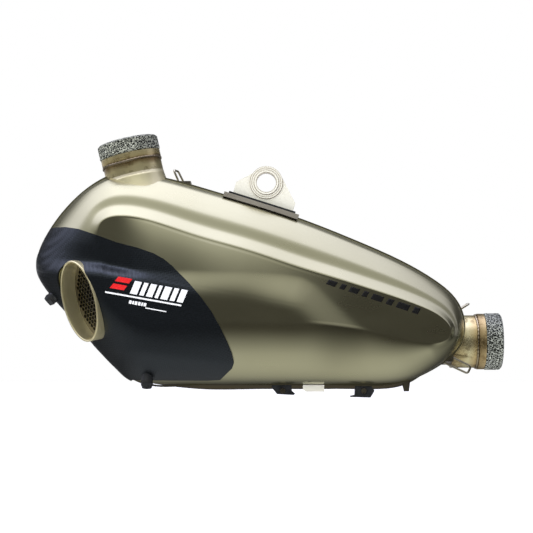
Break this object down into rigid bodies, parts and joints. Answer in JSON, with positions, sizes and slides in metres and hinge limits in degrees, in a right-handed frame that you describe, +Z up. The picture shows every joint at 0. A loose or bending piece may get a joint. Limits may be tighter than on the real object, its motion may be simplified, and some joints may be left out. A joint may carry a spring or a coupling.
{
  "type": "racing exhaust silencer",
  "caption": "Two-inlet titanium racing silencer with an oval outlet under a carbon cover, slip-joint inlets with knitted sealing rings, and an eyed hanger plate.",
  "frame": {"origin": "centre of the eye in the hanger plate, on the seam plane of the body", "axes": "+X towards the front inlet, +Z up, -Y outwards from the vehicle (the outside face of the silencer)"},
  "size_m": [0.4853, 0.1214, 0.2745],
  "materials": {
    "titanium_shell": "satin bead-blasted titanium with a warm tint",
    "titanium_outlet": "satin titanium, brighter at the lip",
    "titanium_inlet": "heat-tinted titanium",
    "titanium_parts": "satin titanium plate",
    "weld_metal": "rippled weld bead",
    "wire_metal": "drawn wire",
    "grille_metal": "punched honeycomb",
    "inner_steel": "plain sheet",
    "carbon": "satin plain-weave carbon with resin",
    "black_fixing": "black coated metal",
    "black_rubber": "matte rubber",
    "knitted_wire": "pressed knitted wire and graphite",
    "wool": "packed mineral wool"
  },
  "bodies": {
    "silencer": {"outer_shell": "titanium_shell", "inner_shell": "titanium_shell", "seam_weld": "weld_metal", "carbon_cover": "carbon", "cover_bolts": "black_fixing", "cover_grommets": "black_rubber", "cover_bosses": "titanium_parts", "outlet_pipe": "titanium_outlet", "outlet_grille": "grille_metal", "rear_inlet_pipe": "titanium_inlet", "rear_inlet_collar": "titanium_inlet", "rear_inlet_weld": "weld_metal", "rear_inlet_flare": "titanium_shell", "front_inlet_pipe": "titanium_inlet", "front_inlet_collar": "titanium_inlet", "front_inlet_weld": "weld_metal", "hanger_plate": "titanium_parts", "hanger_eye_rings": "titanium_parts", "hanger_bush": "titanium_parts", "hanger_doubler": "titanium_parts", "hanger_saddle": "titanium_parts", "rear_outer_hook": "wire_metal", "rear_inner_hook": "wire_metal", "front_upper_hook": "wire_metal", "front_lower_hook": "wire_metal", "hook_tabs": "titanium_parts", "front_lower_clip": "black_fixing", "rear_lower_clip": "black_fixing", "clip_rivets": "wire_metal", "lower_strap": "titanium_parts", "lower_hook_plate": "titanium_parts", "front_core_tube": "inner_steel", "rear_core_tube": "inner_steel", "link_tube": "inner_steel", "rear_partition": "inner_steel", "front_partition": "inner_steel", "wool_sleeve": "wool"},
    "rear_ring": {"rear_sealing_ring": "knitted_wire"},
    "front_ring": {"front_sealing_ring": "knitted_wire"}
  },
  "joints": [
    {"name": "rear_ring_slide", "type": "slide", "parent": "silencer", "child": "rear_ring", "axis": [-0.225, 0, 0.9744], "range_m": [0, 0.022]},
    {"name": "front_ring_slide", "type": "slide", "parent": "silencer", "child": "front_ring", "axis": [1, 0, 0], "range_m": [0, 0.025]}
  ]
}
